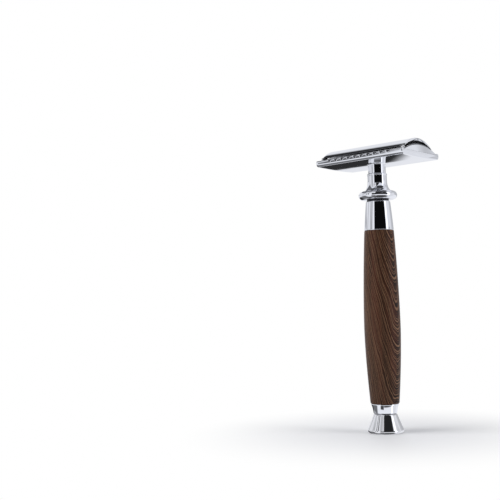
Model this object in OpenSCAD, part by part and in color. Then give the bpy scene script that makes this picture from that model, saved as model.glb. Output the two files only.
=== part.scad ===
// Twist-to-open double-edge safety razor with a wooden grip.
// The razor stands on its knob: the origin is the centre of the knob's flat foot,
// +Z runs up the handle, the blade's cutting edges run along X and the doors open
// towards +Y and -Y. Millimetres throughout.

/* [Knob and tail collar] */
// Radius of the knob at its widest, just above the foot
knob_r = 7.45; // [6.8:0.05:7.8]
// Radius of the waist between the knob and the collar
waist_r = 4.9; // [4.7:0.05:5.1]
// Height of the knob
knob_h = 7.6; // [7.4:0.1:7.7]
// Radius of the collar where it meets the wood
collar_r = 5.7; // [5.4:0.05:6.0]

/* [Grip] */
// Height at which the wood starts
grip_z = 11.9; // [11.5:0.1:12.0]
// Length of wood that shows
grip_len = 72; // [60:1:80]
// Radius of the wood at its fattest
belly_r = 7.55; // [7.0:0.05:8.0]
// Share of the wood's length below the fattest point
belly_at = 0.445; // [0.35:0.005:0.6]
// Radius of the wood at its lower end
grip_foot_r = 5.95; // [5.8:0.05:6.2]
// Radius of the wood at its upper end
grip_head_r = 6.15; // [5.8:0.05:6.4]

/* [Ferrule and neck] */
// Length of the chrome ferrule above the wood
ferrule_len = 12.3; // [10:0.1:14]
// Radius of the ferrule at its upper end
ferrule_head_r = 5.05; // [4.9:0.05:5.4]
// Radius of the hanging ring
ring_r = 8.05; // [7.2:0.05:8.6]
// Radius of the neck above the flare
neck_r = 4.05; // [3.9:0.05:4.3]
// Height of the neck fitting
neck_h = 11.0; // [10.5:0.1:12]
// Radius of the stem that a stand's fork takes
stem_r = 3.68; // [3.4:0.02:3.8]
// Length of that stem
stem_len = 4.1; // [3.8:0.1:8]

/* [Head] */
// Overall length of the guard
guard_len = 43.6; // [43.4:0.1:44.4]
// Overall width of the guard over its safety bars
guard_w = 27; // [26.8:0.1:27.6]
// Rise of the guard's underside from its middle line to the safety bars
hull_rise = 0.3; // [0.2:0.05:0.4]
// Number of scallops in each safety bar
scallops = 10; // [8:1:11]
// Distance from one scallop to the next
scallop_pitch = 3.3; // [3.0:0.05:3.4]
// Height of the closed doors' crown over the guard's lowest line
crown_h = 8.2; // [8.1:0.05:8.4]
// Height of the blade's crown over the guard's lowest line
blade_crown_h = 5.55; // [5.5:0.01:5.6]

/* [Blade] */
// Length of the blade over its end tabs
blade_len = 43; // [42.8:0.1:43]
// Width of the blade when it is flat
blade_w = 22; // [21.9:0.05:22]
// Length of each cutting edge
edge_len = 37.3; // [37:0.1:37.3]
// Thickness of the blade
blade_t = 0.1; // [0.08:0.01:0.1]

/* [Mechanism] */
// How far the tray rises while the doors open
lift = 4; // [3:0.1:4]
// Radius of the lift rod
rod_r = 1.5; // [1.3:0.05:1.55]
// Outer radius of the core tube
tube_r = 2.5; // [2.4:0.05:2.6]

/* [Hidden] */
$fn = 96;

snug = 0.02;              // radial gap of a pressed or glued joint
running = 0.05;           // radial gap of a turning or sliding joint
cutter = 1;               // how far a cutting shape runs past a face

// heights up the handle
collar_z = knob_h + 0.35;             // the wave washer lies in the gap below the collar
ferrule_z = grip_z + grip_len;
washer_z = ferrule_z + ferrule_len;
washer_t = 0.7;
neck_z = washer_z + washer_t;
neck_top = neck_z + neck_h;
head_z = neck_top + stem_len;         // the guard's lowest line

// tail
spigot_r = 3.2;                       // the knob's spigot, which turns in the collar
spigot_top = knob_h + 3.0;
ring_groove_r = 2.6;
snap_r = 3.7;
snap_t = 0.5;
collar_seat_h = 1.35;                 // bearing length in the collar
ring_groove_z = collar_z + collar_seat_h + 0.03;
collar_room_r = 4.0;
collar_spigot_r = 4.2;
collar_spigot_len = 5;
tube_z = grip_z + 0.3;
plug_r = 5.2;
plug_t = 1.2;
nut_r = 3.9;
nut_h = 2.8;
nut_z = knob_h - 0.2 - nut_h;
wave_t = 0.25;
foot_round = 1.0;                     // rounding of the knob's foot
snap_gap = 1.8;                       // opening of the split ring

// handle
tenon_r = 4.3;
tenon_len = 6;
tube_bore_r = 1.75;
bush_len = 5;
ring_round = 1.8;                     // the ring's section, radially and along the handle
ring_half_h = 1.75;
ring_z = neck_z + 0.05 + ring_half_h;
flare_top = neck_top - 2.9;

// head
end_wall_t = 0.9;
half_len = guard_len / 2;
bay_x = half_len - end_wall_t;        // inner face of an end wall
rail_x = edge_len / 2;                // the rails carry the blade's edges only
half_w = guard_w / 2;
bar_r = 0.8;                          // rounding of a safety bar's crest
bar_y = half_w - bar_r;
bar_h = 2.1;                          // height of the crest's centre
heel_r = 1.3;                         // rounding under a bar
heel_y = half_w - heel_r;
hull_r = (heel_y * heel_y + hull_rise * hull_rise) / (2 * hull_rise);
channel_h = 1.5;                      // floor between a rail and its bar
cavity_y = 7.6;
cavity_h = 1.2;
rail_y = 10.5;

blade_arc = 27;                       // radius to which the blade is flexed
blade_cz = blade_crown_h - blade_t / 2 - blade_arc;
rail_arc = blade_arc - blade_t / 2 - 0.15;
wall_arc = blade_arc - blade_t / 2 - 0.25;
tray_arc = blade_arc - blade_t / 2 - 0.05;
tab_y = 6.6;                          // half width of the blade's end tabs

door_half_len = bay_x - 0.15;
door_y = 10.2;
door_out_r = 15.3;
door_in_r = 17.7;
door_t = 1.1;
seam = 0.15;                          // half the gap between the doors
hinge_y = 10.45;
hinge_h = 3.35;
knuckle_r = 0.95;
lug_x = rail_x + 0.15;
lug_t = 0.8;
bracket_x = lug_x + lug_t + 0.15;
bracket_t = 0.75;
pin_r = 0.4;
tray_h = 3.6;                         // underside of the tray
tray_y = 6.9;
tab_at_y = 3.6;                       // the tray's tabs, riveted into the brackets
bracket_h = 2.2;                      // underside of a bracket
stud_x = 13;
stud_r = 0.95;
tray_hole_x = 7;                      // the two round holes that let water through the tray
tray_hole_r = 1.6;
scallop_r = 1.3;
blade_reach = 10.7;                   // half the blade's width once it is flexed
slot_len = 32;
slot_w = 2.2;

// lift rod
thread_len = lift + 3.2;              // the nut's length and a little more than the lift
thread_pitch = 0.8;
rod_foot = plug_t + 0.2;
rod_shoulder = head_z + tray_h;
rivet_r = 0.9;                        // the rod's end, riveted over in the tray
rivet_head_r = 1.4;

// ---------- outlines ----------
function arc(cx, cy, rx, ry, from, to, steps) =
  [for (i = [0:steps]) let (a = from + (to - from) * i / steps)
    [cx + rx * cos(a), cy + ry * sin(a)]];

function bend(a, b, c, steps) =
  [for (i = [0:steps]) let (t = i / steps)
    (1 - t) * (1 - t) * a + 2 * t * (1 - t) * b + t * t * c];

function circle_h(y, r, cz) = cz + sqrt(r * r - y * y);

// the outline drawn for y >= 0 and then back again, mirrored
function both(half) = concat(half,
  [for (i = [len(half) - 1:-1:0]) if (half[i][0] > 0) [-half[i][0], half[i][1]]]);

function grip_radius(z) =
  let (belly_z = grip_z + belly_at * grip_len,
       low = z < belly_z,
       span = low ? belly_z - grip_z : ferrule_z - belly_z,
       drop = belly_r - (low ? grip_foot_r : grip_head_r))
  belly_r - drop * pow(abs(z - belly_z) / span, 1.7);

function ferrule_radius(t) = grip_head_r - (grip_head_r - ferrule_head_r) * pow(t, 1.15);

module mirrored() {
  children();
  mirror([0, 1, 0]) children();
}

module along_x(length) {
  rotate([90, 0, 90]) linear_extrude(length, center = true) children();
}

module slice_x(from, to) {
  translate([(from + to) / 2, 0, 0]) along_x(to - from) children();
}

module ring(inner, outer, z, height) {
  translate([0, 0, z]) difference() {
    cylinder(r = outer, h = height);
    translate([0, 0, -cutter]) cylinder(r = inner, h = height + 2 * cutter);
  }
}

module x_cylinder(r, from, to) {
  translate([from, 0, 0]) rotate([0, 90, 0]) cylinder(r = r, h = to - from);
}

// ---------- tail ----------
module knob() color("silver") difference() {
  rotate_extrude() polygon(concat(
    [[0, 0], [knob_r - foot_round, 0]],
    arc(knob_r - foot_round, 1.05, foot_round, 1.05, -90, 0, 8),
    bend([knob_r, 1.25], [6.05, 4.3], [waist_r, knob_h - 0.15], 12),
    [[waist_r - 0.15, knob_h], [spigot_r, knob_h], [spigot_r, ring_groove_z],
     [ring_groove_r, ring_groove_z], [ring_groove_r, ring_groove_z + snap_t + 0.05],
     [spigot_r, ring_groove_z + snap_t + 0.05], [spigot_r, spigot_top], [0, spigot_top]]));
  translate([0, 0, -cutter]) cylinder(r = plug_r, h = plug_t + cutter);
  translate([0, 0, plug_t - 0.1]) cylinder(r = nut_r, h = knob_h - 0.2 - plug_t + 0.1);
  cylinder(r = rod_r + 3 * running, h = spigot_top + cutter);
}

module knob_plug() color("silver") rotate_extrude() polygon(concat(
  [[0, 0.35]],
  bend([2.6, 0.35], [3.6, 0.33], [4.3, 0], 5),
  [[plug_r - snug - 0.15, 0], [plug_r - snug, 0.15], [plug_r - snug, plug_t], [0, plug_t]]));

module drive_nut() color("goldenrod") ring(rod_r + 0.03, nut_r - snug, nut_z, nut_h);

module snap_ring() color("gray") difference() {
  ring(ring_groove_r + snug, snap_r, ring_groove_z + 0.02, snap_t);
  translate([0, -snap_gap / 2, ring_groove_z - cutter]) cube([snap_r + cutter, snap_gap, 3 * cutter]);
}

module wave_washer() color("gray") ring(spigot_r + running, waist_r - 0.35, knob_h + 0.03, wave_t);

module tail_collar() color("silver") difference() {
  rotate_extrude() polygon(concat(
    [[0, collar_z], [waist_r - 0.2, collar_z]],
    bend([waist_r, collar_z + 0.2], [waist_r + 0.25, collar_z + 2.2], [collar_r, grip_z - 0.35], 8),
    [[collar_r, grip_z], [collar_spigot_r, grip_z],
     [collar_spigot_r, grip_z + collar_spigot_len], [0, grip_z + collar_spigot_len]]));
  translate([0, 0, collar_z - cutter]) cylinder(r = spigot_r + running, h = 2 * cutter + collar_seat_h);
  translate([0, 0, collar_z + collar_seat_h])
    cylinder(r = collar_room_r, h = tube_z - 0.1 - collar_z - collar_seat_h);
  translate([0, 0, tube_z - 0.2]) cylinder(r = tube_r + snug, h = collar_spigot_len + cutter);
}

// ---------- handle ----------
module grip() color("saddlebrown") difference() {
  rotate_extrude() polygon(concat(
    [[0, grip_z], [grip_foot_r - 0.5, grip_z]],
    arc(grip_foot_r - 0.45, grip_z + 0.6, 0.5, 0.6, -90, 0, 5),
    [for (i = [1:24]) let (z = grip_z + 0.6 + (grip_len - 0.8) * i / 24) [grip_radius(z), z]],
    [[grip_head_r - 0.2, ferrule_z], [tenon_r, ferrule_z], [tenon_r, ferrule_z + tenon_len],
     [0, ferrule_z + tenon_len]]));
  translate([0, 0, grip_z - cutter]) cylinder(r = tube_r + 0.1, h = grip_len + tenon_len + 2 * cutter);
  translate([0, 0, grip_z - cutter])
    cylinder(r = collar_spigot_r + snug, h = cutter + collar_spigot_len + 0.1);
}

module core_tube() color("lightgray") ring(tube_bore_r, tube_r, tube_z, head_z + cavity_h - tube_z);

module ferrule() color("silver") difference() {
  rotate_extrude() polygon(concat(
    [[0, ferrule_z], [grip_head_r - 0.12, ferrule_z]],
    [for (i = [0:12]) let (t = 0.02 + 0.95 * i / 12)
      [ferrule_radius(t), ferrule_z + t * ferrule_len]],
    [[ferrule_head_r - 0.25, washer_z], [0, washer_z]]));
  translate([0, 0, ferrule_z - cutter]) cylinder(r = tenon_r + snug, h = cutter + tenon_len + 0.1);
  translate([0, 0, ferrule_z]) cylinder(r = tube_r + running, h = ferrule_len + cutter);
}

module neck_washer() color("dimgray") ring(tube_r + snug, ferrule_head_r - 0.45, washer_z, washer_t);

module neck() color("silver") difference() {
  rotate_extrude() polygon(concat(
    [[0, neck_z], [ferrule_head_r - 0.45, neck_z], [ferrule_head_r - 0.35, neck_z + 0.05]],
    arc(ring_r - ring_round, ring_z, ring_round, ring_half_h, -90, 90, 16),
    arc(ring_r - ring_round, flare_top, ring_r - ring_round - neck_r,
        flare_top - ring_z - ring_half_h, 262, 180, 12),
    [[neck_r, neck_top - 0.9], [neck_r + 0.12, neck_top - 0.7], [neck_r + 0.12, neck_top - 0.3],
     [neck_r - 0.15, neck_top], [0, neck_top]]));
  translate([0, 0, neck_z - cutter]) cylinder(r = tube_r + snug, h = neck_h + 2 * cutter);
}

// ---------- head ----------
function hull_bottom() =
  [for (i = [0:6]) let (y = heel_y * i / 6) [y, hull_r - sqrt(hull_r * hull_r - y * y)]];

function bar_outline() = concat(
  arc(heel_y, hull_rise + heel_r, heel_r, heel_r, -80, 0, 7),
  arc(bar_y, bar_h, bar_r, bar_r, 0, 180, 10));

module hull_section() polygon(both(concat(
  hull_bottom(), bar_outline(),
  [[bar_y - bar_r, channel_h], [cavity_y, channel_h], [cavity_y, cavity_h], [0, cavity_h]])));

module rail_section() polygon(concat(
  [[cavity_y, channel_h - 0.2], [rail_y + 0.15, channel_h - 0.2]],
  [for (i = [0:6]) let (y = rail_y - (rail_y - cavity_y) * i / 6) [y, circle_h(y, rail_arc, blade_cz)]]));

module wall_section() polygon(both(concat(
  hull_bottom(), bar_outline(),
  [for (i = [0:12]) let (y = (bar_y - bar_r) * (1 - i / 12)) [y, circle_h(y, wall_arc, blade_cz)]])));

module guard() color("silver") translate([0, 0, head_z]) difference() {
  union() {
    along_x(2 * bay_x + 0.2) hull_section();
    mirrored() along_x(edge_len) rail_section();
    for (s = [-1, 1]) slice_x(s > 0 ? bay_x : -half_len, s > 0 ? half_len : -bay_x) wall_section();
    translate([0, 0, -stem_len]) cylinder(r = stem_r, h = stem_len + 0.8);
  }
  translate([0, 0, -stem_len - cutter]) cylinder(r = tube_r + snug, h = stem_len + cavity_h + 2 * cutter);
  for (i = [0:scallops - 1], side = [-1, 1])
    translate([(i - (scallops - 1) / 2) * scallop_pitch, side * bar_y, bar_h + bar_r + 0.3])
      rotate([90, 0, 0]) cylinder(r = scallop_r, h = 2.4 * bar_r, center = true);
}

module rod_bush() color("goldenrod")
  ring(rod_r + running, tube_bore_r - snug, head_z + cavity_h - bush_len, bush_len);

module lift_rod() color("lightgray") rotate_extrude() polygon(concat(
  [[0, rod_foot], [rod_r - 0.35, rod_foot]],
  [for (i = [0:2 * floor(thread_len / thread_pitch)])
    [i % 2 == 0 ? rod_r - 0.25 : rod_r, rod_foot + 0.2 + i * thread_pitch / 2]],
  [[rod_r, rod_foot + 0.6 + thread_len],
   [rod_r, rod_shoulder], [rivet_r, rod_shoulder], [rivet_r, rod_shoulder + 1.15],
   [rivet_head_r, rod_shoulder + 1.15], [rivet_head_r - 0.15, rod_shoulder + 1.55], [0, rod_shoulder + 1.65]]));

module blade_tray() color("gainsboro") translate([0, 0, head_z]) difference() {
  union() {
    along_x(2 * bracket_x) polygon(concat(
      [[-tray_y, tray_h], [tray_y, tray_h]],
      [for (i = [0:16]) let (y = tray_y * (1 - i / 8)) [y, circle_h(y, tray_arc, blade_cz)]]));
    for (x = [-stud_x, stud_x]) translate([x, 0, tray_h + 0.5]) {
      cylinder(r = stud_r, h = 2.2);
      translate([0, 0, 2.2]) cylinder(r1 = stud_r, r2 = stud_r - 0.25, h = 0.25);
    }
    for (s = [-1, 1], y = [-tab_at_y, tab_at_y])
      translate([s * bracket_x, y, tray_h + 0.5]) cube([2 * bracket_t, 2.0, 0.7], center = true);
  }
  translate([0, 0, tray_h - cutter]) cylinder(r = rivet_r + snug, h = 3 * cutter);
  translate([0, 0, tray_h + 1.15]) cylinder(r = rivet_head_r + 0.15, h = cutter);
  for (x = [-tray_hole_x, tray_hole_x]) translate([x, 0, 0]) cylinder(r = tray_hole_r, h = 3 * tray_h);
}

module bracket_outline() difference() {
  union() {
    polygon(both(concat(
      [[0, bracket_h], [hinge_y, hinge_h - 0.8 * knuckle_r], [hinge_y, hinge_h + 0.4]],
      [for (i = [0:10]) let (y = 9.4 * (1 - i / 10)) [y, circle_h(y, rail_arc, blade_cz)]])));
    for (s = [-1, 1]) translate([s * hinge_y, hinge_h]) circle(r = knuckle_r);
  }
  for (s = [-1, 1]) {
    translate([s * hinge_y, hinge_h]) circle(r = pin_r + 0.01);
    translate([s * tab_at_y, tray_h + 0.5]) square([2.0, 0.7], center = true);
  }
}

module end_bracket(side) color("gainsboro") translate([0, 0, head_z])
  slice_x(side > 0 ? bracket_x : -bracket_x - bracket_t, side > 0 ? bracket_x + bracket_t : -bracket_x)
    bracket_outline();

module hinge_pin(side, end) color("gray") translate([0, side * hinge_y, head_z + hinge_h])
  x_cylinder(pin_r, end > 0 ? lug_x - 0.1 : -bracket_x - bracket_t,
             end > 0 ? bracket_x + bracket_t : -lug_x + 0.1);

function door_outer_h(y) = circle_h(y, door_out_r, crown_h - door_out_r);

function door_inner_h(y) = circle_h(y, door_in_r, crown_h - door_t - door_in_r);

module door_section() polygon(concat(
  [for (i = [0:20]) let (y = seam + (door_y - seam) * i / 20) [y, door_outer_h(y)]],
  [for (i = [0:20]) let (y = door_y - 0.05 - (door_y - 0.05 - seam) * i / 20)
    [y, door_inner_h(y)]]));

module lug_section() difference() {
  union() {
    translate([hinge_y, hinge_h]) circle(r = knuckle_r);
    polygon([[hinge_y - 0.8 * knuckle_r, hinge_h], [hinge_y, hinge_h + 0.8 * knuckle_r],
             [door_y - 0.1, door_outer_h(door_y - 0.1) - 0.05],
             [door_y - 1.3, door_outer_h(door_y - 1.3) - 0.15],
             [door_y - 1.6, door_inner_h(door_y - 1.6) + 0.1]]);
  }
  translate([hinge_y, hinge_h]) circle(r = pin_r + running);
}

module door_right_way() translate([0, 0, head_z]) {
  difference() {
    along_x(2 * door_half_len) door_section();
    for (s = [-1, 1]) translate([0, hinge_y, hinge_h])
      x_cylinder(knuckle_r + 0.2, s > 0 ? bracket_x - 0.12 : -door_half_len - cutter,
                 s > 0 ? door_half_len + cutter : -bracket_x + 0.12);
    for (s = [-1, 1]) translate([0, hinge_y, hinge_h])
      x_cylinder(pin_r + running, s > 0 ? lug_x - 0.12 : -bracket_x, s > 0 ? bracket_x : -lug_x + 0.12);
  }
  for (s = [-1, 1])
    slice_x(s > 0 ? lug_x : -lug_x - lug_t, s > 0 ? lug_x + lug_t : -lug_x) lug_section();
}

module door(side) color("silver") if (side > 0) door_right_way(); else mirror([0, 1, 0]) door_right_way();

module blade_outline() difference() {
  union() {
    square([edge_len, blade_w], center = true);
    square([blade_len, 2 * tab_y], center = true);
  }
  square([slot_len, slot_w], center = true);
  circle(r = 2.6);
  for (s = [-1, 1]) {
    translate([s * stud_x, 0]) circle(r = 2.0);
    translate([s * 15.6, 0]) square([1.6, 5.6], center = true);
    for (t = [-1, 1]) translate([s * edge_len / 2, t * (tab_y + 0.9)]) circle(r = 0.9);
  }
}

module blade() color("lightsteelblue") translate([0, 0, head_z]) intersection() {
  along_x(blade_len) difference() {
    translate([0, blade_cz]) circle(r = blade_arc + blade_t / 2);
    translate([0, blade_cz]) circle(r = blade_arc - blade_t / 2);
    translate([-50, -70]) square([100, 70]);
    for (s = [-1, 1]) translate([s * (blade_reach + 20), 0]) square([40, 40], center = true);
  }
  linear_extrude(12) blade_outline();
}

knob();
knob_plug();
drive_nut();
snap_ring();
wave_washer();
tail_collar();
grip();
core_tube();
ferrule();
neck_washer();
neck();
guard();
rod_bush();
lift_rod();
blade_tray();
end_bracket(-1);  // end_bracket_left
end_bracket(1);  // end_bracket_right
hinge_pin(-1, -1);  // hinge_pin_front_left
hinge_pin(-1, 1);  // hinge_pin_front_right
hinge_pin(1, -1);  // hinge_pin_rear_left
hinge_pin(1, 1);  // hinge_pin_rear_right
door(-1);  // door_front
door(1);  // door_rear
blade();
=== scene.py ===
"""Looks of the twist-to-open safety razor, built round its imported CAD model."""

import math
import bmesh
import bpy
from mathutils import Matrix, Vector


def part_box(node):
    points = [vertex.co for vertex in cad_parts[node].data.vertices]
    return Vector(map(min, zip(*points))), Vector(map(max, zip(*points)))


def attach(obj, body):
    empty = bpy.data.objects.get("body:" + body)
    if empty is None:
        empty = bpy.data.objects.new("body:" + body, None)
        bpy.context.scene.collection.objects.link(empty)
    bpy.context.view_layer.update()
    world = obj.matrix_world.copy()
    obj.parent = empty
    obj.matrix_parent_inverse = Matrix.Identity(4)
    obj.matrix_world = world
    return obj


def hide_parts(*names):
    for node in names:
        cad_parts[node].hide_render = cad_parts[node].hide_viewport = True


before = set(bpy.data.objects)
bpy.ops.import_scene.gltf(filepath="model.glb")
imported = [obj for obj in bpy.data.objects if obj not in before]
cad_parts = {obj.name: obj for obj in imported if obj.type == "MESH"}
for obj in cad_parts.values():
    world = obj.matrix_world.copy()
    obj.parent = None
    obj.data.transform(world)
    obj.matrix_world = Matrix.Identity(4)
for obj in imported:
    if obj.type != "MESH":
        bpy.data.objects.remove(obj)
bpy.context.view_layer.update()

MM = 0.001
TURN = 2 * math.pi

# ---------------------------------------------------------------- dimensions, mm
GRIP_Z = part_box("grip")[0].z / MM
FERRULE_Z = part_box("ferrule")[0].z / MM
WASHER_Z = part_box("neck_washer")[0].z / MM
NECK_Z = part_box("neck")[0].z / MM
NECK_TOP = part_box("neck")[1].z / MM
STEM_LEN = 4.1
HEAD_Z = NECK_TOP + STEM_LEN
TUBE_R = 2.5
FIT, GAP = 0.02, 0.1
BORE_R = TUBE_R + FIT

KNOB_H, KNOB_R, KNOB_TOP_R, KNOB_ROUND_R, KNOB_ROUND_H = 7.6, 7.45, 4.9, 1.0, 1.05
SNOUT_R, SNOUT_TOP, SCREW_R = 3.2, KNOB_H + 3, 1.65
NUT_R, NUT_TOP = 3.9, 7.4
PLUG_R, PLUG_H, PLUG_DISH = 5.2, 1.1, 0.35
COLLAR_Z, COLLAR_R, COLLAR_BORE_R = KNOB_H + 0.35, 5.7, 3.25
SNAP_R, SNAP_TOP = 4.0, COLLAR_Z + 1.35
SPIGOT_R, SPIGOT_LEN = 4.2, 5.0

GRIP_LEN, BELLY_R, GRIP_FOOT_R, GRIP_HEAD_R = FERRULE_Z - GRIP_Z, 7.55, 5.95, 6.15
BELLY_Z = GRIP_Z + 0.445 * GRIP_LEN
WOOD_BORE_R, TENON_R, TENON_LEN = 2.6, 4.3, 6.0
FERRULE_LEN, FERRULE_TOP_R = WASHER_Z - FERRULE_Z, 5.05
WASHER_R = 4.6
RING_R, RING_ROUND, RING_HALF = 8.05, 1.8, 1.75
RING_Z = NECK_Z + 0.05 + RING_HALF
FLARE_TOP, NECK_R, LIP_R = NECK_TOP - 2.9, 4.05, 4.17

HALF_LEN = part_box("guard")[1].x / MM
HALF_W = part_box("guard")[1].y / MM
BAY_X = HALF_LEN - 0.9
RAIL_X = 18.65
HULL_RISE = 0.3
HEEL_R, BAR_R, BAR_H = 1.3, 0.8, 2.1
HEEL_Y, BAR_Y = HALF_W - HEEL_R, HALF_W - BAR_R
HULL_R = (HEEL_Y**2 + HULL_RISE**2) / (2 * HULL_RISE)
CHANNEL_H, CAVITY_H, CAVITY_Y, RAIL_Y = 1.5, 1.2, 7.6, 10.5
SCALLOPS, PITCH, SCALLOP_R = 10, 3.3, 1.3
SCALLOPED, SLICE, WALL_EDGE = 17.6, 0.11, 0.14
STEM_R, STEM_ROOT = 3.68, 0.5
BLADE_CZ = 5.55 - 0.05 - 27
RAIL_ARC, WALL_ARC = 26.8, 26.7
DOOR_HALF, DOOR_EDGE = BAY_X - 0.15, 0.12
DOOR_Y, DOOR_OUT, DOOR_IN, CROWN, DOOR_T, SEAM = 10.2, 15.3, 17.7, 8.2, 1.1, 0.15
HINGE_Y, HINGE_H, KNUCKLE, PIN_R = 10.45, 3.35, 0.95, 0.4
LUG_X, LUG_T, BRACKET_X = 18.8, 0.8, 19.75


# ---------------------------------------------------------------- outlines
def arc(cx, cy, rx, ry, start, stop, steps):
    """Points along an ellipse's arc, angles in degrees."""
    out = []
    for i in range(steps + 1):
        a = math.radians(start + (stop - start) * i / steps)
        out.append((cx + rx * math.cos(a), cy + ry * math.sin(a)))
    return out


def bend(a, b, c, steps):
    """A curve from a to c, pulled towards b."""
    out = []
    for i in range(steps + 1):
        t = i / steps
        weights = (1 - t) ** 2, 2 * t * (1 - t), t * t
        out.append(tuple(weights[0] * p + weights[1] * q + weights[2] * r for p, q, r in zip(a, b, c)))
    return out


def soften(points, radius, corner=25, steps=3):
    """The closed outline, every corner sharper than `corner` degrees rounded but those on the axis."""
    out, n = [], len(points)
    for i in range(n):
        p, v, q = (Vector(points[k % n]) for k in (i - 1, i, i + 1))
        a, b = p - v, q - v
        if a.length < 1e-6 or b.length < 1e-6:
            continue
        if v.x < 1e-6 or 180 - math.degrees(a.angle(b)) < corner:
            out.append(tuple(v))
            continue
        cut = min(radius, 0.4 * a.length, 0.4 * b.length)
        out += bend(v + a.normalized() * cut, v, v + b.normalized() * cut, steps)
    return out


def drop(y, r, cz):
    """Height at y of a circle of radius r about (0, cz)."""
    return cz + math.sqrt(r * r - y * y)


# ---------------------------------------------------------------- meshes
def make(name, verts, faces, body, slot, material, nodes=(), sharp=32):
    """A smooth-shaded piece from millimetre coordinates, riding on a body."""
    mesh = bpy.data.meshes.new(name)
    mesh.from_pydata([tuple(c * MM for c in v) for v in verts], [], faces)
    mesh.validate()
    obj = bpy.data.objects.new(name, mesh)
    bpy.context.scene.collection.objects.link(obj)
    weld(obj)
    mesh.polygons.foreach_set("use_smooth", [True] * len(mesh.polygons))
    mesh.set_sharp_from_angle(angle=math.radians(sharp))
    mesh.materials.append(material)
    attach(obj, body)
    if nodes:
        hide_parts(*nodes)
    return obj


def weld(obj):
    bm = bmesh.new()
    bm.from_mesh(obj.data)
    bmesh.ops.remove_doubles(bm, verts=bm.verts, dist=2e-7)
    bmesh.ops.dissolve_degenerate(bm, edges=bm.edges, dist=1e-7)
    bmesh.ops.recalc_face_normals(bm, faces=bm.faces)
    bm.to_mesh(obj.data)
    bm.free()


def turned(profile, steps=160):
    """An outline [(r, z), ...] turned about Z; it may start and end on the axis."""
    verts, faces = [], []
    n = len(profile)
    closed = profile[0][0] > 1e-6 or profile[-1][0] > 1e-6
    for r, z in profile:
        for s in range(steps):
            a = TURN * s / steps
            verts.append((r * math.cos(a), r * math.sin(a), z))
    for i in range(n if closed else n - 1):
        j = (i + 1) % n
        for s in range(steps):
            t = (s + 1) % steps
            faces.append((i * steps + s, i * steps + t, j * steps + t, j * steps + s))
    return verts, faces


def swept(stations):
    """Closed outlines [(x, [(y, z), ...]), ...] joined along X and capped at both ends."""
    verts, faces = [], []
    n = len(stations[0][1])
    for x, outline in stations:
        verts += [(x, y, z) for y, z in outline]
    for k in range(len(stations) - 1):
        for i in range(n):
            j = (i + 1) % n
            faces.append((k * n + i, k * n + j, (k + 1) * n + j, (k + 1) * n + i))
    faces.append(tuple(range(n - 1, -1, -1)))
    last = (len(stations) - 1) * n
    faces.append(tuple(range(last, last + n)))
    return verts, faces


def inset(outline, d):
    """The closed outline moved inwards by d."""
    following = outline[1:] + outline[:1]
    area = sum(a[0] * b[1] - b[0] * a[1] for a, b in zip(outline, following))
    side = 1 if area > 0 else -1
    out = []
    for i, after in enumerate(following):
        p, v, q = Vector(outline[i - 1]), Vector(outline[i]), Vector(after)
        t = (q - v).normalized() + (v - p).normalized()
        if t.length < 1e-6:
            out.append(tuple(v))
            continue
        t.normalize()
        out.append((v.x - side * t.y * d, v.y + side * t.x * d))
    return out


def eased_end(x, outline, edge, sign):
    """Stations that round a swept piece's end over, from the full outline to the cap."""
    out, steps = [], 3
    for i in range(steps + 1):
        a = math.radians(90 * i / steps)
        out.append((sign * (x - edge + edge * math.sin(a)), inset(outline, edge * (1 - math.cos(a)))))
    return out if sign > 0 else out[::-1]


def lifted(mesh, dz):
    verts, faces = mesh
    return [(x, y, z + dz) for x, y, z in verts], faces


def joined(*meshes):
    verts, faces = [], []
    for v, f in meshes:
        base = len(verts)
        verts += v
        faces += [tuple(i + base for i in face) for face in f]
    return verts, faces


def cut(obj, tool, operation="DIFFERENCE"):
    """Applies an exact boolean with a temporary tool mesh."""
    mesh = bpy.data.meshes.new("tool")
    mesh.from_pydata([tuple(c * MM for c in v) for v in tool[0]], [], tool[1])
    other = bpy.data.objects.new("tool", mesh)
    bpy.context.scene.collection.objects.link(other)
    weld(other)
    mod = obj.modifiers.new("cut", "BOOLEAN")
    mod.operation, mod.solver, mod.object = operation, "EXACT", other
    bpy.context.view_layer.update()
    done = bpy.data.meshes.new_from_object(obj.evaluated_get(bpy.context.evaluated_depsgraph_get()))
    obj.modifiers.clear()
    obj.data = done
    bpy.data.objects.remove(other)
    done.polygons.foreach_set("use_smooth", [True] * len(done.polygons))
    done.set_sharp_from_angle(angle=math.radians(32))


# ---------------------------------------------------------------- materials
class Tree:
    """A short way to write a node tree."""

    def __init__(self, tree):
        self.tree = tree

    def add(self, kind, **settings):
        node = self.tree.nodes.new(kind)
        for key, value in settings.items():
            setattr(node, key, value)
        return node

    def link(self, value, socket):
        if isinstance(value, bpy.types.NodeSocket):
            self.tree.links.new(value, socket)
        else:
            socket.default_value = value

    def math(self, op, a, b=0.0, c=None):
        node = self.add("ShaderNodeMath", operation=op)
        self.link(a, node.inputs[0])
        self.link(b, node.inputs[1])
        if c is not None:
            self.link(c, node.inputs[2])
        return node.outputs[0]

    def spread(self, value, low, high, to_low, to_high, smooth=False):
        node = self.add("ShaderNodeMapRange")
        if smooth:
            node.interpolation_type = "SMOOTHSTEP"
        sockets = "Value", "From Min", "From Max", "To Min", "To Max"
        for key, end in zip(sockets, (value, low, high, to_low, to_high)):
            self.link(end, node.inputs[key])
        return node.outputs[0]

    def split(self, vector):
        node = self.add("ShaderNodeSeparateXYZ")
        self.link(vector, node.inputs[0])
        return node.outputs


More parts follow.
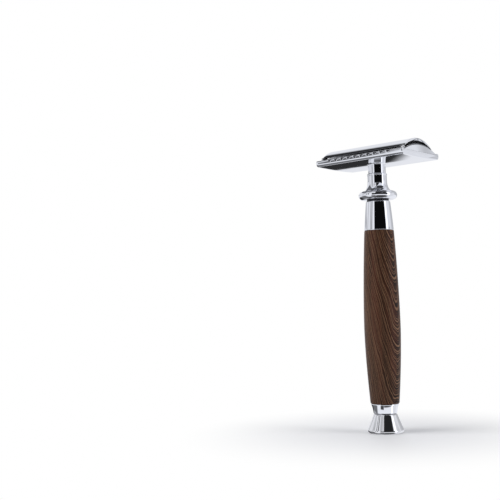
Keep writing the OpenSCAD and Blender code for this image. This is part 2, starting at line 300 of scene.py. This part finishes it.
class Nodes(Tree):
    """A material's tree, with the piece's own coordinates as `place`."""

    def __init__(self, name, **sockets):
        self.material = bpy.data.materials.new(name)
        self.material.use_nodes = True
        super().__init__(self.material.node_tree)
        self.shader = self.tree.nodes["Principled BSDF"]
        for key, value in sockets.items():
            self.shader.inputs[key.replace("_", " ")].default_value = value
        self.place = self.add("ShaderNodeTexCoord").outputs["Object"]

    def scaled(self, scale):
        node = self.add("ShaderNodeMapping")
        node.inputs["Scale"].default_value = scale
        self.link(self.place, node.inputs["Vector"])
        return node.outputs[0]

    def noise(self, scale, detail=3.0, rough=0.5, vector=None):
        node = self.add("ShaderNodeTexNoise")
        self.link(vector or self.place, node.inputs["Vector"])
        node.inputs["Scale"].default_value = scale
        node.inputs["Detail"].default_value = detail
        node.inputs["Roughness"].default_value = rough
        return node.outputs["Fac"]

    def mix(self, factor, a, b, blend="MIX"):
        node = self.add("ShaderNodeMix", data_type="RGBA", blend_type=blend)
        self.link(factor, node.inputs[0])
        self.link(a, node.inputs[6])
        self.link(b, node.inputs[7])
        return node.outputs[2]

    def bump(self, height, strength, distance):
        node = self.add("ShaderNodeBump")
        node.inputs["Strength"].default_value = strength
        node.inputs["Distance"].default_value = distance
        self.link(height, node.inputs["Height"])
        return node.outputs[0]

    def give(self, **sockets):
        for key, value in sockets.items():
            self.link(value, self.shader.inputs[key.replace("_", " ")])
        return self.material


PLATE, KNOB_PLATE = (0.86, 0.87, 0.9, 1), (0.84, 0.84, 0.85, 1)
# Near-black colours painted into the chrome's deep recesses as shade, in place of the shadow there.
PAINTED_RECESS_SHADE = (0.07, 0.07, 0.075, 1), (0.13, 0.13, 0.14, 1)


def chrome(name, tint, shine=(0.012, 0.04), painted_shade_mask=None):
    """Polished plate: faint smudges in the gloss, and the slow ripple that buffing leaves.
    Where the mask given last says so, the colour is painted near-black as shade in a deep recess, and the
    gloss there is rougher."""
    n = Nodes(name, Metallic=1.0)
    smudge = n.noise(220, 4, 0.6)
    fine = n.noise(1500, 3, 0.6)
    gloss = n.math("ADD", n.spread(smudge, 0.35, 0.7, shine[0], shine[1]), n.spread(fine, 0.3, 0.8, 0, 0.02))
    colour = n.mix(n.spread(smudge, 0.4, 0.75, 0, 1), tint, tuple(c * 0.965 for c in tint[:3]) + (1,))
    ripple = n.bump(n.noise(160, 2, 0.5), 0.035, 0.0002)
    if painted_shade_mask:
        mask = painted_shade_mask(n)
        # painted shade: where the mask is set, the chrome turns near-black to stand in for the recess's
        # shadow
        colour = n.mix(mask, colour, n.mix(fine, *PAINTED_RECESS_SHADE))
        gloss = n.math("ADD", gloss, n.math("MULTIPLY", mask, 0.3))
    return n.give(Base_Color=colour, Roughness=gloss, Normal=ripple)


def guard_painted_recess_shade(n):
    """Painted shade: a mask inside the bars and end walls, above the floor of the channel, where the chrome
    is darkened to stand in for the crevice's shadow.
    """
    x, y, z = n.split(n.place)
    edge = BAR_Y - BAR_R
    inside = n.spread(n.math("ABSOLUTE", y), (edge + 0.25) * MM, (edge + 0.05) * MM, 0, 1)
    between = n.spread(n.math("ABSOLUTE", x), BAY_X * MM, (BAY_X - 0.1) * MM, 0, 1)
    above = n.spread(z, (HEAD_Z + 0.6) * MM, (HEAD_Z + 0.8) * MM, 0, 1)
    return n.math("MULTIPLY", n.math("MULTIPLY", inside, between), above)


def door_painted_inner_shade(n):
    """Painted shade: a mask over the doors' hollow side and lower lip, up to the rounding of their ends,
    where the chrome is darkened to stand in for the shadow under the doors.
    """
    x, y, z = n.split(n.place)
    rise = n.math("SUBTRACT", z, (HEAD_Z + CROWN - DOOR_OUT) * MM)
    reach = n.math("SQRT", n.math("ADD", n.math("MULTIPLY", y, y), n.math("MULTIPLY", rise, rise)))
    inside = n.spread(reach, (DOOR_OUT - 0.12) * MM, (DOOR_OUT - 0.3) * MM, 0, 1)
    lip = n.spread(n.math("ABSOLUTE", y), (DOOR_Y - 0.17) * MM, (DOOR_Y - 0.11) * MM, 0, 1)
    between = n.spread(n.math("ABSOLUTE", x), (DOOR_HALF - 0.02) * MM, (DOOR_HALF - 0.08) * MM, 0, 1)
    return n.math("MULTIPLY", n.math("MAXIMUM", inside, lip), between)


def drawn_steel(name, tint, rough, along, streak=0.12):
    """Steel with fine drawing or brushing lines along one axis."""
    n = Nodes(name, Metallic=1.0)
    lines = n.noise(1.0, 4, 0.65, n.scaled(along))
    cloud = n.noise(260, 3, 0.5)
    shade = n.spread(lines, 0.3, 0.7, 1 - streak, 1.0)
    colour = n.mix(1.0, tint, shade, "MULTIPLY")
    gloss = n.spread(lines, 0.3, 0.7, rough - 0.05, rough + 0.07)
    gloss = n.math("ADD", gloss, n.spread(cloud, 0.4, 0.7, 0, 0.05))
    return n.give(Base_Color=colour, Roughness=gloss, Normal=n.bump(lines, 0.15, 0.00002))


WOOD_BROWN = (0.021, 0.0078, 0.0040, 1), (0.062, 0.0235, 0.0118, 1)
WOOD_RED, WOOD_PALE, WOOD_LINE = (0.080, 0.021, 0.0115, 1), (0.27, 0.15, 0.087, 1), (0.010, 0.0042, 0.0025, 1)
WOOD_FIBRE, WOOD_PORE = (0.030, 0.015, 0.0095, 1), (0.010, 0.005, 0.003, 1)
RING_SCALE, RING_LEAN = 5000, 0.2


def wood():
    """Dark, close-ringed wood: the rings lean a little, so they show as nested Vs where the
    barrel cuts them flat and as fine upright lines on the sides, under a satin lacquer."""
    n = Nodes("wood", Coat_Weight=0.03, Coat_Roughness=0.14, Coat_IOR=1.5)
    n.shader.inputs["Specular IOR Level"].default_value = 0.13
    x, y, z = n.split(n.place)
    slow = n.noise(1.0, 2, 0.5, n.scaled((95, 95, 26)))
    wander = n.noise(1.0, 3, 0.55, n.scaled((420, 420, 60)))
    # the Vs' tips move round the barrel a little from its foot to its head
    twist = n.spread(z, 0.02, 0.09, 0.14, -0.09)
    side = n.math("ADD", n.math("MULTIPLY", x, 0.985), n.math("MULTIPLY", y, twist))
    depth = n.math("ADD", side, n.math("MULTIPLY", z, RING_LEAN))
    depth = n.math("ADD", depth, n.math("MULTIPLY", n.math("SUBTRACT", slow, 0.5), 0.0045))
    depth = n.math("ADD", depth, n.math("MULTIPLY", n.math("SUBTRACT", wander, 0.5), 0.0006))

    layers = n.add("ShaderNodeTexNoise", noise_dimensions="1D")
    for key, value in (("W", depth), ("Scale", RING_SCALE), ("Detail", 0.7), ("Roughness", 0.7)):
        n.link(value, layers.inputs[key])
    rings = layers.outputs["Fac"]
    light = n.spread(rings, 0.49, 0.65, 0, 1, smooth=True)
    dark = n.spread(rings, 0.48, 0.35, 0, 1, smooth=True)
    # zones and streak are broad upright stripes; fibre and pores are fine
    zones = n.noise(1.0, 2, 0.55, n.scaled((800, 800, 14)))
    fibre = n.noise(1.0, 4, 0.6, n.scaled((2400, 2400, 70)))
    pores = n.noise(1.0, 2, 0.5, n.scaled((5200, 5200, 330)))
    streak = n.noise(1.0, 2, 0.5, n.scaled((380, 380, 9)))
    base = n.mix(n.spread(zones, 0.36, 0.62, 0, 1), *WOOD_BROWN)
    for share, colour in (
        (n.spread(streak, 0.5, 0.64, 0, 0.75), WOOD_RED),
        (n.math("MULTIPLY", light, 0.85), WOOD_PALE),
        (n.math("MULTIPLY", dark, 0.92), WOOD_LINE),
        (n.spread(fibre, 0.42, 0.7, 0, 0.4), WOOD_FIBRE),
        (n.spread(pores, 0.62, 0.72, 0, 0.6), WOOD_PORE),
    ):
        base = n.mix(share, base, colour)
    height = n.math("SUBTRACT", n.math("MULTIPLY", rings, 0.6), n.spread(pores, 0.6, 0.75, 0, 1))
    gloss = n.math("ADD", n.spread(fibre, 0.3, 0.7, 0.34, 0.46), n.math("MULTIPLY", light, 0.08))
    return n.give(Base_Color=base, Roughness=gloss, Normal=n.bump(height, 0.25, 0.00004))


CHROME = chrome("chrome", PLATE)
# painted shade: the guard's chrome is darkened in its channel, the doors' on their hollow side and lower lip
GUARD_CHROME = chrome("chrome_guard", PLATE, painted_shade_mask=guard_painted_recess_shade)
DOOR_CHROME = chrome("chrome_door", PLATE, painted_shade_mask=door_painted_inner_shade)
WARM_CHROME = chrome("chrome_knob", KNOB_PLATE, (0.03, 0.08))
WOOD = wood()
BRASS = drawn_steel("brass", (0.8, 0.62, 0.3, 1), 0.24, (300, 300, 4000))
TUBE_STEEL = drawn_steel("tube_steel", (0.66, 0.66, 0.67, 1), 0.22, (3000, 3000, 120))
TRAY_STEEL = drawn_steel("tray_steel", (0.74, 0.74, 0.75, 1), 0.26, (90, 3500, 3500))
SPRING_STEEL = drawn_steel("spring_steel", (0.48, 0.48, 0.5, 1), 0.3, (2500, 2500, 300))
# Near-black steel painted as the shade of the groove between ferrule and neck.
GROOVE_SHADE_STEEL = drawn_steel("dark_steel", (0.05, 0.05, 0.055, 1), 0.35, (400, 400, 4000))


def blade_steel():
    """Rolled strip with fine lines along its length and a brighter ground bevel at each edge."""
    n = Nodes("blade_steel", Metallic=1.0)
    y = n.math("ABSOLUTE", n.split(n.place)[1])
    bevel = n.spread(y, 0.00985, 0.00995, 0, 1)
    roll = n.noise(1.0, 4, 0.6, n.scaled((60, 6000, 6000)))
    grind = n.noise(1.0, 3, 0.6, n.scaled((5500, 120, 120)))
    lines = n.add("ShaderNodeMix", data_type="FLOAT")
    for value, socket in ((bevel, 0), (roll, 2), (grind, 3)):
        n.link(value, lines.inputs[socket])
    lines = lines.outputs[0]
    colour = n.mix(bevel, (0.62, 0.64, 0.67, 1), (0.86, 0.87, 0.89, 1))
    colour = n.mix(1.0, colour, n.spread(lines, 0.3, 0.7, 0.88, 1.0), "MULTIPLY")
    gloss = n.math("ADD", n.spread(bevel, 0, 1, 0.16, 0.24), n.spread(lines, 0.3, 0.7, 0, 0.08))
    return n.give(Base_Color=colour, Roughness=gloss, Normal=n.bump(lines, 0.12, 0.00001))


BLADE_STEEL = blade_steel()

# ---------------------------------------------------------------- tail
knob_profile = soften(
    [(KNOB_R - KNOB_ROUND_R, 0)]
    + arc(KNOB_R - KNOB_ROUND_R, KNOB_ROUND_H, KNOB_ROUND_R, KNOB_ROUND_H, -85, 0, 12)
    + bend((KNOB_R, KNOB_ROUND_H + 0.2), (6.05, 4.3), (KNOB_TOP_R, KNOB_H - 0.15), 30)
    + [(KNOB_TOP_R - 0.15, KNOB_H), (SNOUT_R, KNOB_H), (SNOUT_R, SNOUT_TOP), (SCREW_R, SNOUT_TOP),
       (SCREW_R, NUT_TOP), (NUT_R, NUT_TOP), (NUT_R, PLUG_H), (PLUG_R, PLUG_H), (PLUG_R, 0)],
    0.12,
)
make("knob_shell", *turned(knob_profile), "knob", "chrome", WARM_CHROME, ["knob"])

plug_profile = soften(
    [(0, PLUG_DISH)]
    + bend((1.2, PLUG_DISH), (3.6, PLUG_DISH - 0.01), (4.3, 0), 14)
    + [(4.35, 0), (PLUG_R - FIT, 0), (PLUG_R - FIT, PLUG_H + 0.1), (0, PLUG_H + 0.1)],
    0.1,
)
make("knob_foot_plug", *turned(plug_profile), "knob", "chrome", WARM_CHROME, ["knob_plug"])

collar_profile = soften(
    [(COLLAR_BORE_R, COLLAR_Z), (KNOB_TOP_R - 0.2, COLLAR_Z)]
    + bend((KNOB_TOP_R, COLLAR_Z + 0.2), (5.15, COLLAR_Z + 2.2), (COLLAR_R, GRIP_Z - 0.35), 20)
    + [(COLLAR_R, GRIP_Z), (SPIGOT_R, GRIP_Z), (SPIGOT_R, GRIP_Z + SPIGOT_LEN), (BORE_R, GRIP_Z + SPIGOT_LEN),
       (BORE_R, GRIP_Z + GAP), (SNAP_R, GRIP_Z + GAP), (SNAP_R, SNAP_TOP), (COLLAR_BORE_R, SNAP_TOP)],
    0.1,
)
make("tail_collar_ring", *turned(collar_profile), "handle", "chrome", CHROME, ["tail_collar"])

# ---------------------------------------------------------------- grip and ferrule
def grip_radius(z):
    low = z < BELLY_Z
    span = BELLY_Z - GRIP_Z if low else FERRULE_Z - BELLY_Z
    fall = BELLY_R - (GRIP_FOOT_R if low else GRIP_HEAD_R)
    return BELLY_R - fall * (abs(z - BELLY_Z) / span) ** 1.7


grip_profile = (
    [(WOOD_BORE_R, GRIP_Z + SPIGOT_LEN + GAP), (SPIGOT_R + FIT, GRIP_Z + SPIGOT_LEN + GAP),
     (SPIGOT_R + FIT, GRIP_Z), (GRIP_FOOT_R - 0.5, GRIP_Z)]
    + arc(GRIP_FOOT_R - 0.45, GRIP_Z + 0.6, 0.5, 0.6, -80, -6, 8)
    + [(grip_radius(z), z) for z in (GRIP_Z + 0.6 + (GRIP_LEN - 0.85) * i / 110 for i in range(111))]
    + [(GRIP_HEAD_R - 0.05, FERRULE_Z - 0.1), (GRIP_HEAD_R - 0.2, FERRULE_Z), (TENON_R, FERRULE_Z),
       (TENON_R, FERRULE_Z + TENON_LEN), (WOOD_BORE_R, FERRULE_Z + TENON_LEN)]
)
make("grip_barrel", *turned(grip_profile, 200), "handle", "wood", WOOD, ["grip"])

ferrule_profile = soften(
    [(TENON_R + FIT, FERRULE_Z), (GRIP_HEAD_R - 0.12, FERRULE_Z)]
    + [(GRIP_HEAD_R - (GRIP_HEAD_R - FERRULE_TOP_R) * t**1.15, FERRULE_Z + t * FERRULE_LEN)
       for t in (0.015 + 0.965 * i / 50 for i in range(51))]
    + [(FERRULE_TOP_R - 0.2, WASHER_Z), (TUBE_R + 0.05, WASHER_Z),
       (TUBE_R + 0.05, FERRULE_Z + TENON_LEN + GAP), (TENON_R + FIT, FERRULE_Z + TENON_LEN + GAP)],
    0.12,
)
make("ferrule_sleeve", *turned(ferrule_profile), "handle", "chrome", CHROME, ["ferrule"])

# Painted shade: the washer is near-black, standing in for the shadow in the groove between ferrule and neck.
washer_profile = [(BORE_R, WASHER_Z), (WASHER_R, WASHER_Z), (WASHER_R, NECK_Z), (BORE_R, NECK_Z)]
washer_profile = soften(washer_profile, 0.12)
make("shadow_spacer", *turned(washer_profile), "handle", "dark_steel", GROOVE_SHADE_STEEL, ["neck_washer"])

RING_CORE = RING_R - RING_ROUND
neck_profile = soften(
    [(BORE_R, NECK_Z), (WASHER_R, NECK_Z), (WASHER_R + 0.1, NECK_Z + 0.05)]
    + arc(RING_CORE, RING_Z, RING_ROUND, RING_HALF, -88, 84, 44)
    + arc(RING_CORE, FLARE_TOP, RING_CORE - NECK_R, FLARE_TOP - RING_Z - RING_HALF, 259, 180, 32)
    + [(NECK_R, NECK_TOP - 0.9)]
    + bend((NECK_R, NECK_TOP - 0.85), (LIP_R, NECK_TOP - 0.8), (LIP_R, NECK_TOP - 0.6), 4)
    + bend((LIP_R, NECK_TOP - 0.35), (LIP_R - 0.02, NECK_TOP), (NECK_R - 0.25, NECK_TOP), 6)
    + [(BORE_R, NECK_TOP)],
    0.08,
)
make("neck_ring", *turned(neck_profile), "handle", "chrome", CHROME, ["neck"])


# ---------------------------------------------------------------- guard
def valley(x):
    """Height to which the scallops cut the bars' crests at x."""
    near = min((abs(x - (i - (SCALLOPS - 1) / 2) * PITCH) for i in range(SCALLOPS)))
    centre = BAR_H + BAR_R + 0.3
    if near >= SCALLOP_R:
        return centre + 6 * (near - SCALLOP_R)
    return centre - math.sqrt(SCALLOP_R**2 - near**2)


def lower(h, limit, soft=0.12):
    """The smaller of two heights, blended where they meet."""
    return (h + limit - math.sqrt((h - limit) ** 2 + soft**2)) / 2


def guard_outline(kind, x=2 * HALF_LEN):
    """The guard's closed outline in (y, h) at x, by default away from the scallops.
    The kind is rails, bay or wall."""
    half = []
    for i in range(25):
        y = HEEL_Y * i / 24
        half.append((y, HULL_R - math.sqrt(HULL_R**2 - y * y)))
    half += arc(HEEL_Y, HULL_RISE + HEEL_R, HEEL_R, HEEL_R, -82, 0, 12)
    crest = arc(BAR_Y, BAR_H, BAR_R, BAR_R, 0, 180, 20)
    half += [(y, lower(h, valley(x)) if kind != "wall" else h) for y, h in crest]
    inner, foot = BAR_Y - BAR_R, CAVITY_Y - 0.05

    def rail(y):
        return drop(y, RAIL_ARC, BLADE_CZ) if kind == "rails" else CHANNEL_H

    rail_ys = [RAIL_Y + 0.15] + [RAIL_Y - (RAIL_Y - CAVITY_Y) * i / 12 for i in range(13)]
    top = [(inner, BAR_H - 0.25), (inner, CHANNEL_H + 0.1), (inner - 0.12, CHANNEL_H)]
    top += [(rail_ys[0], CHANNEL_H)] + [(y, rail(y)) for y in rail_ys] + [(CAVITY_Y, CHANNEL_H)]
    top += [(foot - foot * i / 8, CAVITY_H) for i in range(9)]
    if kind == "wall":  # the first two points lean in, so the wall's side never lies on the bay's
        ys = [y - lean for (y, _), lean in zip(top, [0.02, 0.04] + [0] * len(top))]
        top = [(y, drop(y, WALL_ARC, BLADE_CZ)) for y in ys]
    half += top
    other = [(-y, h) for y, h in half[::-1] if y > 1e-6]
    return half + other


def guard_mesh():
    wall = guard_outline("wall")
    bay, rails = guard_outline("bay"), guard_outline("rails")
    slices = round(2 * SCALLOPED / SLICE)
    fine = [-SCALLOPED + 2 * SCALLOPED * i / slices for i in range(slices + 1)]
    left = [(-BAY_X, wall), (-BAY_X, bay), (-RAIL_X, bay), (-RAIL_X, rails)]
    stations = eased_end(HALF_LEN, wall, WALL_EDGE, -1) + left
    stations += [(x, guard_outline("rails", x)) for x in fine]
    stations += [(-x, outline) for x, outline in left[::-1]]
    return swept(stations + eased_end(HALF_LEN, wall, WALL_EDGE, 1))


plate = lifted(guard_mesh(), HEAD_Z)
guard = make("guard_plate", *plate, "handle", "chrome", GUARD_CHROME, ["guard"], sharp=38)
stem_profile = (
    [(1, -STEM_LEN), (STEM_R - 0.12, -STEM_LEN), (STEM_R, -STEM_LEN + 0.12), (STEM_R, -STEM_ROOT)]
    + bend((STEM_R, -STEM_ROOT + 0.05), (STEM_R, 0.03), (STEM_R + STEM_ROOT, 0.05), 6)
    + [(STEM_R + STEM_ROOT, 0.6), (1, 0.6)]
)
cut(guard, lifted(turned(stem_profile), HEAD_Z), "UNION")
bore_profile = [(0, -STEM_LEN - 1), (BORE_R, -STEM_LEN - 1), (BORE_R, 4), (0, 4)]
cut(guard, lifted(turned(bore_profile), HEAD_Z))


# ---------------------------------------------------------------- doors
def outer_h(y):
    return drop(y, DOOR_OUT, CROWN - DOOR_OUT)


def inner_h(y):
    return drop(y, DOOR_IN, CROWN - DOOR_T - DOOR_IN)


def door_outline(notched):
    """A door's closed section in (y, h); a notched one is cut back round the bracket's ear."""
    reach = KNUCKLE + 0.2

    def clear(height, y):
        return math.hypot(y - HINGE_Y, height(y) - HINGE_H) >= reach

    def last(height, y):
        while notched and not clear(height, y):
            y -= 0.005
        return y

    y_out, y_in = last(outer_h, DOOR_Y - 0.12), last(inner_h, DOOR_Y - 0.16)
    edge = 0.1
    start = SEAM + edge
    out = [(SEAM, inner_h(SEAM) + edge), (SEAM, outer_h(SEAM) - edge)]
    out += bend(out[-1], (SEAM, outer_h(SEAM)), (start, outer_h(start)), 4)[1:]
    out += [(y, outer_h(y)) for y in (start + (y_out - start) * i / 60 for i in range(1, 61))]
    tip_a, tip_b = out[-1], (y_in, inner_h(y_in))
    if notched:
        out += [tuple(a + (b - a) * i / 8 for a, b in zip(tip_a, tip_b)) for i in range(1, 8)]
        for k in range(1, 8):
            y, h = out[-k]
            d = math.hypot(y - HINGE_Y, h - HINGE_H)
            out[-k] = (HINGE_Y + (y - HINGE_Y) * reach / d, HINGE_H + (h - HINGE_H) * reach / d)
    else:
        out += bend(tip_a, (DOOR_Y + 0.06, (tip_a[1] + tip_b[1]) / 2), tip_b, 8)[1:-1]
    out.append(tip_b)
    out += [(y, inner_h(y)) for y in (y_in + (start - y_in) * i / 60 for i in range(1, 61))]
    return out


def door_mesh(side):
    full, notched = door_outline(False), door_outline(True)
    step_x = BRACKET_X - DOOR_EDGE
    stations = eased_end(DOOR_HALF, notched, DOOR_EDGE, -1) + [(-step_x, notched), (-step_x, full)]
    stations += [(step_x, full), (step_x, notched)] + eased_end(DOOR_HALF, notched, DOOR_EDGE, 1)
    parts = [swept(stations)]
    web = [(HINGE_Y - 0.76, HINGE_H), (HINGE_Y, HINGE_H + 0.76), (DOOR_Y - 0.1, outer_h(DOOR_Y - 0.1) - 0.05),
           (DOOR_Y - 1.3, outer_h(DOOR_Y - 1.3) - 0.15), (DOOR_Y - 1.6, inner_h(DOOR_Y - 1.6) + 0.1)]
    for s in (-1, 1):
        x0, x1 = sorted((s * LUG_X, s * (LUG_X + LUG_T)))
        ring = [(PIN_R + 0.05, x0), (KNUCKLE - 0.08, x0), (KNUCKLE, x0 + 0.08), (KNUCKLE, x1 - 0.08),
                (KNUCKLE - 0.08, x1), (PIN_R + 0.05, x1)]
        verts, faces = turned(ring, 48)
        parts.append(([(z, HINGE_Y + a, HINGE_H + b) for a, b, z in verts], faces))
        parts.append(swept([(x0 + 0.04, web), (x1 - 0.04, web)]))
    verts, faces = joined(*parts)
    return [(x, side * y, z + HEAD_Z) for x, y, z in verts], faces


make("door_front_shell", *door_mesh(-1), "door_front", "chrome", DOOR_CHROME, ["door_front"])
make("door_rear_shell", *door_mesh(1), "door_rear", "chrome", DOOR_CHROME, ["door_rear"])

# ---------------------------------------------------------------- CAD pieces that stay
tray_pieces = ["blade_tray", "end_bracket_left", "end_bracket_right"]
pins = [f"hinge_pin_{door}_{end}" for door in ("front", "rear") for end in ("left", "right")]
for material, names in (
    (BRASS, ["drive_nut", "rod_bush"]),
    (SPRING_STEEL, ["snap_ring", "wave_washer"] + pins),
    (TUBE_STEEL, ["core_tube", "lift_rod"]),
    (TRAY_STEEL, tray_pieces),
    (BLADE_STEEL, ["blade"]),
):
    for name in names:
        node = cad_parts[name]
        node.data.materials.clear()
        node.data.materials.append(material)
for name in tray_pieces:
    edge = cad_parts[name].modifiers.new("edge", "BEVEL")
    edge.width, edge.segments, edge.limit_method = 0.06 * MM, 2, "ANGLE"
    edge.angle_limit = math.radians(40)

# ---------------------------------------------------------------- camera
CAMERA_AT = Vector((214.85, -308.50, 54.04)) * MM
AIM_AZIMUTH, AIM_RISE, ROLL = math.radians(43.184), math.radians(3.561), math.radians(-1.504)
LENS, SENSOR = 63.86, 36.0

forward = -Vector((math.sin(AIM_AZIMUTH) * math.cos(AIM_RISE), -math.cos(AIM_AZIMUTH) * math.cos(AIM_RISE),
                   -math.sin(AIM_RISE)))
right = forward.cross(Vector((0, 0, 1))).normalized()
up = right.cross(forward)
right, up = (right * math.cos(ROLL) + up * math.sin(ROLL), up * math.cos(ROLL) - right * math.sin(ROLL))
camera = bpy.data.objects.new("camera", bpy.data.cameras.new("camera"))
bpy.context.scene.collection.objects.link(camera)
facing = Matrix((right, up, -forward)).transposed().to_4x4()
camera.matrix_world = Matrix.Translation(CAMERA_AT) @ facing
camera.data.lens, camera.data.sensor_width = LENS, SENSOR
camera.data.clip_start = 0.005
camera.data.clip_end = 20
bpy.context.scene.camera = camera


# ---------------------------------------------------------------- studio
FLOOR_R, FLOOR_Z = 3.0, -0.02 * MM


def studio_floor():
    """A pale table top that fades into the white backdrop, just under the razor's foot."""
    n = Nodes("floor", Roughness=0.55, Base_Color=(0.93, 0.93, 0.935, 1))
    x, y = n.split(n.place)[:2]
    away = n.math("SQRT", n.math("ADD", n.math("MULTIPLY", x, x), n.math("MULTIPLY", y, y)))
    fade = n.spread(away, 0.005, 0.09, 0, 1, smooth=True)
    glow = n.add("ShaderNodeEmission")
    glow.inputs["Color"].default_value = (1, 1, 1, 1)
    glow.inputs["Strength"].default_value = 1.0
    both = n.add("ShaderNodeMixShader")
    n.link(fade, both.inputs[0])
    n.link(n.shader.outputs[0], both.inputs[1])
    n.link(glow.outputs[0], both.inputs[2])
    n.link(both.outputs[0], n.tree.nodes["Material Output"].inputs["Surface"])
    mesh = bpy.data.meshes.new("floor")
    rim = [(x, y, FLOOR_Z) for x, y in arc(0, 0, FLOOR_R, FLOOR_R, 0, 360, 96)[:-1]]
    mesh.from_pydata(rim, [], [range(len(rim))])
    mesh.materials.append(n.material)
    floor = bpy.data.objects.new("floor", mesh)
    bpy.context.scene.collection.objects.link(floor)
    floor.visible_glossy = False


# Dark flags round the razor: azimuth from, to, elevation from, to, how soft their sides and ends
# are, brightness. All in degrees but the last; azimuth 0 is in front of the razor, 90 at its right,
# 180 behind it, where a flag that goes on round is written as two.
FLAGS = [
    (-1, 95, -14, 24, 1.0, 4, 0.004),
    (18, 92, 22, 200, 3.0, 5, 0.02),
    (-12, 12, 26, 42, 7.0, 4, 0.55),
    (-39, -34, -6, 60, 1.5, 6, 0.12),
    (-27, -20, -6, 60, 1.5, 6, 0.10),
    (-62, -52, 24, 42, 3.0, 4, 0.40),
    (-70, -60, -6, 60, 3.0, 6, 0.60),
    (150, 157, -6, 60, 3.0, 6, 0.60),
    (-126, -58, 37, 70, 5.0, 2, 0.02),
    (-200, 200, 72, 200, 1.0, 4, 0.12),
    (-125, -47, -62, -15, 4.0, 4, 0.18),
    (-11, 20, -52, -31, 2.0, 2, 0.07),
    (-200, 200, -200, -58, 1.0, 4, 0.07),
    (-146.5, -100, -32, -8.8, 0.8, 0.5, 0.03),
    (-180, -80, 7.9, 10.5, 3.0, 0.5, 0.45),
    (118, 129, 7.9, 10.5, 1.0, 0.5, 0.35),
    (124, 152, 26, 64, 9.0, 6, 0.42),
    (158, 200, -4, 64, 5.0, 3, 0.55),
    (-200, -150, -4, 64, 4.0, 3, 0.55),
    (22, 115, -60, -40, 5.0, 3, 0.04),
]
# Brighter or greyer parts of the tent: azimuth from, to, softness, brightness.
PANELS = [(96, 112, 2.0, 1.5), (116, 149, 4.0, 0.84), (-150, -41, 6.0, 0.86)]
TENT_TINT = 0.955, 0.97, 1.02


def studio_world():
    """White tent with dark flags standing round it, as seen in the chrome; the camera sees plain white."""
    world = bpy.data.worlds.new("studio")
    bpy.context.scene.world = world
    world.use_nodes = True
    t = Tree(world.node_tree)
    t.tree.nodes.clear()

    def band(value, low, high, soft):
        rising = t.spread(value, low - soft, low + soft, 0, 1, smooth=True)
        return t.math("MULTIPLY", rising, t.spread(value, high - soft, high + soft, 1, 0, smooth=True))

    def towards(shade, value, mask):
        return t.math("MULTIPLY_ADD", mask, t.math("SUBTRACT", value, shade), shade)

    x, y, z = t.split(t.add("ShaderNodeTexCoord").outputs["Generated"])
    azimuth = t.math("MULTIPLY", t.math("ARCTAN2", x, t.math("MULTIPLY", y, -1)), 360 / TURN)
    rise = t.math("MULTIPLY", t.math("ARCSINE", z), 360 / TURN)
    shade = t.math("ADD", 0.96, t.math("MULTIPLY", t.spread(rise, 35, 75, 0, 1, smooth=True), 0.12))
    for low, high, soft, value in PANELS:
        lower_part = t.spread(rise, 35, 65, 1, 0, smooth=True)
        shade = towards(shade, value, t.math("MULTIPLY", band(azimuth, low, high, soft), lower_part))
    for low, high, bottom, top, soft, soft_end, value in FLAGS:
        mask = t.math("MULTIPLY", band(azimuth, low, high, soft), band(rise, bottom, top, soft_end))
        shade = towards(shade, value, mask)
    tint = t.add("ShaderNodeCombineColor")
    for socket, share in zip(tint.inputs, TENT_TINT):
        t.link(t.math("MULTIPLY", shade, share), socket)
    tent, plain = t.add("ShaderNodeBackground"), t.add("ShaderNodeBackground")
    t.link(tint.outputs[0], tent.inputs["Color"])
    t.link((1, 1, 1, 1), plain.inputs["Color"])
    both = t.add("ShaderNodeMixShader")
    t.link(t.add("ShaderNodeLightPath").outputs["Is Camera Ray"], both.inputs[0])
    t.link(tent.outputs[0], both.inputs[1])
    t.link(plain.outputs[0], both.inputs[2])
    t.link(both.outputs[0], t.add("ShaderNodeOutputWorld").inputs["Surface"])


def softbox(name, at, power):
    """A square softbox aimed at the razor's middle, left out of the chrome's reflections."""
    light = bpy.data.lights.new(name, "AREA")
    light.shape, light.size, light.energy = "SQUARE", 0.4, power
    obj = bpy.data.objects.new(name, light)
    bpy.context.scene.collection.objects.link(obj)
    obj.location = at
    aim = Vector((0, 0, 0.06)) - Vector(at)
    obj.rotation_euler = aim.to_track_quat("-Z", "Y").to_euler()
    obj.visible_glossy = False


studio_floor()
studio_world()
softbox("key", (-0.35, -0.45, 0.75), 3.2)
softbox("fill", (0.7, 0.25, 0.6), 1.6)
bpy.context.scene.view_settings.view_transform = "Standard"
